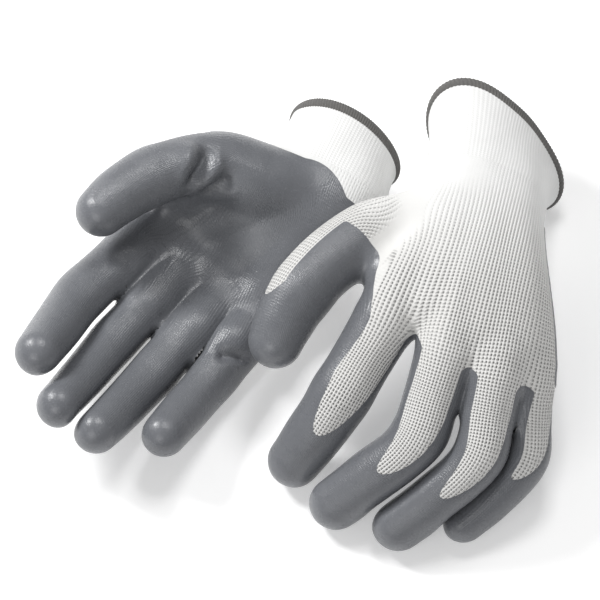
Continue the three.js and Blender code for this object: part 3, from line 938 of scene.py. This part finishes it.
def make_hem(side, rim, out, along, materials):
    """Overlocking: thread wrapped over the cuff's raw edge, close and slanting."""
    count = HEM_WRAPS * WRAP_STEPS
    place = np.arange(count) / count * len(rim)
    k = place.astype(int)
    f = (place - k)[:, None]

    def spread(values):
        return values[k % len(rim)] * (1 - f) + values[(k + 1) % len(rim)] * f

    middle, out, along = spread(rim), unit(spread(out)), unit(spread(along))
    middle = middle - out * HEM_IN - along * HEM_BACK
    phase = 2 * math.pi * np.arange(count) * HEM_WRAPS / count
    rows = []
    for turn in np.linspace(0, 2 * math.pi, HEM_SIDES, endpoint=False):
        ridge = 0.5 + 0.5 * np.cos(phase + WRAP_SLANT * math.sin(turn))
        thick = HEM_THICK * (1 + WRAP_RIDGE * (ridge - 0.5))[:, None]
        long = HEM_LONG * (1 + WRAP_STEP * (ridge - 0.5))[:, None]
        rows.append(middle + out * math.cos(turn) * thick + along * math.sin(turn) * long)
    points = np.array(rows).transpose(1, 0, 2).reshape(-1, 3)
    i, j = np.meshgrid(np.arange(count), np.arange(HEM_SIDES), indexing="ij")
    here, ahead, beside = i * HEM_SIDES, (i + 1) % count * HEM_SIDES, (j + 1) % HEM_SIDES
    faces = np.stack([here + j, ahead + j, ahead + beside, here + beside], -1).reshape(-1, 4)
    faces = turned_out(points, faces, out[0])
    hem = make_mesh(f"{side}_overlock_hem", points, faces, None, {}, materials["hem"])
    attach(hem, side + "_glove")
    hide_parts(side + "_cuff_hem")


def cut_lines(side, chain):
    """Where a finger's pieces meet, and between which points each bends."""
    root = joint_at[f"{side}_{chain['finger']}_root"]
    middle = joint_at[f"{side}_{chain['finger']}_middle"]
    way = unit(middle - root)
    room = np.linalg.norm(middle - root)
    ahead = THUMB_WEB_AHEAD if chain["finger"] == "thumb" else WEB_AHEAD[side]
    shared = ahead + 0.5 * (room - ahead)
    tip_way = unit(chain["line"][-1] - middle)
    return {
        "root": root, "way": way, "ahead": ahead, "shared": shared,
        "base": (root + way * (ahead + CUT_ROOM), root + way * (shared - CUT_ROOM)),
        "tip": (root + way * (shared + CUT_ROOM), middle + tip_way * TIP_BEND),
    }


def part_of(cut, mine, middles):
    """0 for the hand, 1 for the finger's base and 2 for its tip."""
    off = (middles - cut["root"]) @ cut["way"]
    return (mine & (off > cut["ahead"])).astype(int) + (mine & (off > cut["shared"]))


def make_layers(surface, wanted, name, nodes, bodies, materials):
    """The knit and the film of one piece of a glove, attached to one body, or left with its place
    baked in when it lies between two.
    """
    _, quads, _, knit = surface
    coat = knit[:, 2]
    raised = np.clip(0.5 * coat, -0.8, FILM_THICK)
    coated = np.any(coat[quads] > -1.5, axis=1)
    for word, slot, offset, keep in (
        ("knit", "liner", 0 * coat, wanted),
        ("film", "coating", raised, wanted & coated),
    ):
        piece = cut_piece(f"{name}_{word}", keep, surface, offset, materials[word])
        if len(bodies) == 1:
            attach(piece, bodies[0])
        else:
            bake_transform(piece)
        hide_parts(nodes[word])


def make_glove(side, materials):
    """The pieces of one glove: its hand, each finger's base and tip, its cuff and hem."""
    glove = glove_frame(side)
    chains = [chain_of(side, finger, glove) for finger in FINGERS]
    cuts = [cut_lines(side, chain) for chain in chains]
    field, whole, alone = grow_glove(side, chains, cuts)
    shapes = palm_shapes(side, field, whole, chains)

    def dressed(values):
        """The surface with its pads and folds, and the nearest finger of each point."""
        points, quads, outward = surface_of(field, values)
        knit, owner = knit_places(side, glove, chains, points)
        points = points + outward * raised_by(shapes, points)[:, None]
        return (points, quads, facing_of(points, quads), knit), owner

    (points, quads, outward, knit), owner = dressed(whole)
    past = (points - glove["wrist"]) @ glove["outwards"]
    quads = quads[np.all(past[quads] < 1.2, axis=1)]
    points -= glove["outwards"] * np.maximum(past, 0)[:, None]
    middles = points[quads].mean(1)
    hand = np.ones(len(quads), bool)
    for k, cut in enumerate(cuts):
        hand &= part_of(cut, owner[quads[:, 0]] == k, middles) == 0
    nodes = {"knit": side + "_hand_liner", "film": side + "_palm_coating"}
    surface = points, quads, outward, knit
    make_layers(surface, hand, side + "_hand", nodes, (side + "_glove",), materials)
    for k, (chain, cut) in enumerate(zip(chains, cuts)):
        surface, owner = dressed(alone[k])
        points, quads = surface[:2]
        part = part_of(cut, owner[quads[:, 0]] == k, points[quads].mean(1))
        name = f"{side}_{chain['finger']}"
        for number, word, bodies in (
            (1, "base", (side + "_glove", name + "_base", cut["base"])),
            (2, "tip", (name + "_base", name + "_tip", cut["tip"])),
        ):
            nodes = {"knit": f"{name}_{word}_liner", "film": f"{name}_{word}_coating"}
            make_layers(surface, part == number, f"{name}_{word}", nodes, bodies, materials)
    make_cuff(side, glove, field, whole, materials)


def make_stage():
    bpy.ops.mesh.primitive_plane_add(size=6, location=(0, 0, 0))
    floor = bpy.context.object
    floor.name = "floor"
    material = bpy.data.materials.new("pale_floor")
    _, shader = nodes_of(material)
    shader.inputs["Base Color"].default_value = (FLOOR_TONE, FLOOR_TONE, FLOOR_TONE, 1)
    shader.inputs["Roughness"].default_value = 0.9
    shader.inputs["Specular IOR Level"].default_value = 0.1
    shader.inputs["Emission Color"].default_value = (1, 1, 1, 1)
    shader.inputs["Emission Strength"].default_value = FLOOR_GLOW
    floor.data.materials.append(material)
    world = bpy.data.worlds.new("studio")
    scene = bpy.context.scene
    scene.world = world
    scene.view_settings.view_transform = "Standard"
    world.use_nodes = True
    sky = world.node_tree.nodes["Background"]
    sky.inputs["Color"].default_value = (1, 1, 1, 1)
    sky.inputs["Strength"].default_value = SKY
    for name, place, size, power in LIGHTS:
        light = bpy.data.lights.new(name, "AREA")
        light.size = size
        light.energy = power
        lamp = bpy.data.objects.new(name, light)
        scene.collection.objects.link(lamp)
        lamp.location = place
        towards = LIGHT_AIM - Vector(place)
        lamp.rotation_euler = towards.to_track_quat("-Z", "Y").to_euler()


def make_camera():
    data = bpy.data.cameras.new("camera")
    data.lens = CAMERA_LENS
    camera = bpy.data.objects.new("camera", data)
    bpy.context.scene.collection.objects.link(camera)
    elevation = math.radians(CAMERA_ELEVATION)
    back = Vector((0, -math.cos(elevation), math.sin(elevation)))
    camera.location = CAMERA_AIM + back * CAMERA_AWAY
    camera.rotation_euler = (-back).to_track_quat("-Z", "Y").to_euler()
    bpy.context.scene.camera = camera


materials = {
    "knit": knit_material(),
    "film": film_material(),
    "cuff": rib_material(),
    "hem": hem_material(),
}
for side in SIDES:
    make_glove(side, materials)
make_stage()
make_camera()
